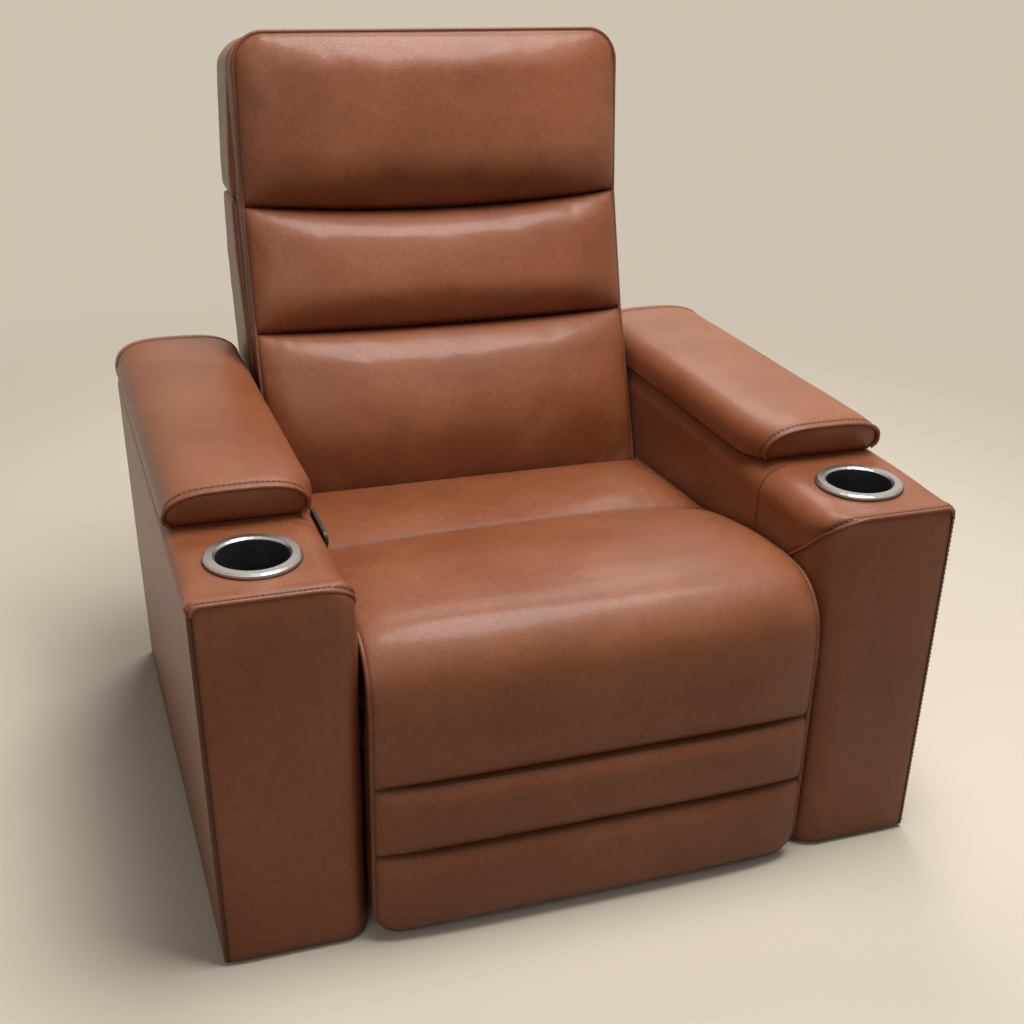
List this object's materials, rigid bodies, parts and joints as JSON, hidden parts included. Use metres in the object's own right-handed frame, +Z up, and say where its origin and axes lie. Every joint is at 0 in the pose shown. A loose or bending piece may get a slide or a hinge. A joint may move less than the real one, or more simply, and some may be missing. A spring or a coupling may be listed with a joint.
{
  "type": "cinema recliner seat",
  "caption": "Leather cinema recliner armchair: reclining back with tilting headrest, powered leg rest that unrolls under the knees, and a steel cup holder in each arm.",
  "frame": {"origin": "on the floor, under the middle of the chair's box", "axes": "+X to the viewer's right when facing the seat, +Y from the front to the back, +Z up"},
  "size_m": [1.024, 0.975, 1.05],
  "materials": {
    "leather": "semi-gloss saddle brown leather with fine pebble grain",
    "plywood": "sanded birch plywood",
    "black_steel": "black powder coat",
    "zinc_steel": "zinc plated",
    "brushed_steel": "turned and brushed stainless steel",
    "black_plastic": "black moulded plastic",
    "webbing": "woven elastic webbing",
    "rubber": "soft-touch rubber"
  },
  "bodies": {
    "root": {"base_rail_right": "black_steel", "base_rail_left": "black_steel", "cross_tube_front": "black_steel", "cross_tube_rear": "black_steel", "arm_glide_front_right": "black_plastic", "arm_glide_front_left": "black_plastic", "arm_glide_rear_right": "black_plastic", "arm_glide_rear_left": "black_plastic", "side_plate_right": "black_steel", "side_plate_left": "black_steel", "seat_frame": "plywood", "seat_spring_1": "zinc_steel", "seat_spring_2": "zinc_steel", "seat_spring_3": "zinc_steel", "seat_spring_4": "zinc_steel", "seat_cushion_rear": "leather", "seat_cushion_front": "leather", "leg_drive_rail": "zinc_steel", "leg_drive_motor": "black_plastic", "recline_drive_rail": "zinc_steel", "recline_drive_motor": "black_plastic", "arm_carcass_right": "plywood", "arm_carcass_left": "plywood", "arm_cover_right": "leather", "arm_cover_left": "leather", "arm_front_panel_right": "leather", "arm_front_panel_left": "leather", "arm_pad_right": "leather", "arm_pad_left": "leather", "cup_liner_right": "black_plastic", "cup_liner_left": "black_plastic", "cup_ring_right": "brushed_steel", "cup_ring_left": "brushed_steel", "switch_bezel": "black_plastic", "rear_kick_panel": "leather", "power_inlet": "black_plastic"},
    "backrest": {"lumbar_cushion": "leather", "middle_back_cushion": "leather", "outside_back": "leather", "back_frame": "black_steel", "back_webbing_1": "webbing", "back_webbing_2": "webbing", "back_webbing_3": "webbing"},
    "headrest": {"headrest_cushion": "leather", "headrest_shell": "leather", "headrest_frame": "black_steel"},
    "leg_rest": {"leg_cushion": "leather", "leg_board": "plywood", "leg_bracket_right": "black_steel", "leg_bracket_left": "black_steel"},
    "lift_shaft": {"torque_tube": "black_steel"},
    "lift_link_right": {"lift_link_right": "zinc_steel"},
    "lift_link_left": {"lift_link_left": "zinc_steel"},
    "leg_drive_block": {"leg_drive_block": "black_plastic"},
    "recline_drive_block": {"recline_drive_block": "black_plastic"},
    "button_1": {"switch_button_1": "rubber"},
    "button_2": {"switch_button_2": "rubber"},
    "button_3": {"switch_button_3": "rubber"},
    "button_4": {"switch_button_4": "rubber"}
  },
  "joints": [
    {"name": "back_recline", "type": "hinge", "parent": "root", "child": "backrest", "pos_m": [0, 0.1965, 0.3], "axis": [-1, 0, 0], "range_deg": [0, 45]},
    {"name": "headrest_tilt", "type": "hinge", "parent": "backrest", "child": "headrest", "pos_m": [0, 0.3265, 0.799], "axis": [1, 0, 0], "range_deg": [0, 28]},
    {"name": "leg_rest_lift", "type": "hinge", "parent": "root", "child": "leg_rest", "pos_m": [0, -0.3995, 0.357], "axis": [-1, 0, 0], "range_deg": [0, 90]},
    {"name": "lift_shaft_turn", "type": "hinge", "parent": "root", "child": "lift_shaft", "pos_m": [0, -0.2205, 0.205], "axis": [-1, 0, 0], "range_deg": [0, 90]},
    {"name": "lift_link_right_turn", "type": "hinge", "parent": "lift_shaft", "child": "lift_link_right", "pos_m": [0.2562, -0.1825, 0.055], "axis": [1, 0, 0], "range_deg": [0, 90]},
    {"name": "lift_link_left_turn", "type": "hinge", "parent": "lift_shaft", "child": "lift_link_left", "pos_m": [-0.2562, -0.1825, 0.055], "axis": [1, 0, 0], "range_deg": [0, 90]},
    {"name": "leg_drive_slide", "type": "slide", "parent": "root", "child": "leg_drive_block", "axis": [0, -1, 0], "range_m": [0, 0.141]},
    {"name": "recline_drive_slide", "type": "slide", "parent": "root", "child": "recline_drive_block", "axis": [0, -1, 0], "range_m": [0, 0.124]},
    {"name": "button_1_press", "type": "slide", "parent": "root", "child": "button_1", "axis": [-1, 0, 0], "range_m": [0, 0.0015], "stiffness_N_per_m": 400, "springref_m": -0.001},
    {"name": "button_2_press", "type": "slide", "parent": "root", "child": "button_2", "axis": [-1, 0, 0], "range_m": [0, 0.0015], "stiffness_N_per_m": 400, "springref_m": -0.001},
    {"name": "button_3_press", "type": "slide", "parent": "root", "child": "button_3", "axis": [-1, 0, 0], "range_m": [0, 0.0015], "stiffness_N_per_m": 400, "springref_m": -0.001},
    {"name": "button_4_press", "type": "slide", "parent": "root", "child": "button_4", "axis": [-1, 0, 0], "range_m": [0, 0.0015], "stiffness_N_per_m": 400, "springref_m": -0.001}
  ],
  "couplings": [
    {"joint": "lift_shaft_turn", "follows": "leg_rest_lift", "ratio": 1},
    {"joint": "lift_link_right_turn", "follows": "leg_rest_lift", "ratio": 1},
    {"joint": "lift_link_left_turn", "follows": "leg_rest_lift", "ratio": 1},
    {"joint": "leg_drive_slide", "follows": "leg_rest_lift", "m_per_rad": 0.089762},
    {"joint": "recline_drive_slide", "follows": "back_recline", "m_per_rad": 0.15788}
  ]
}
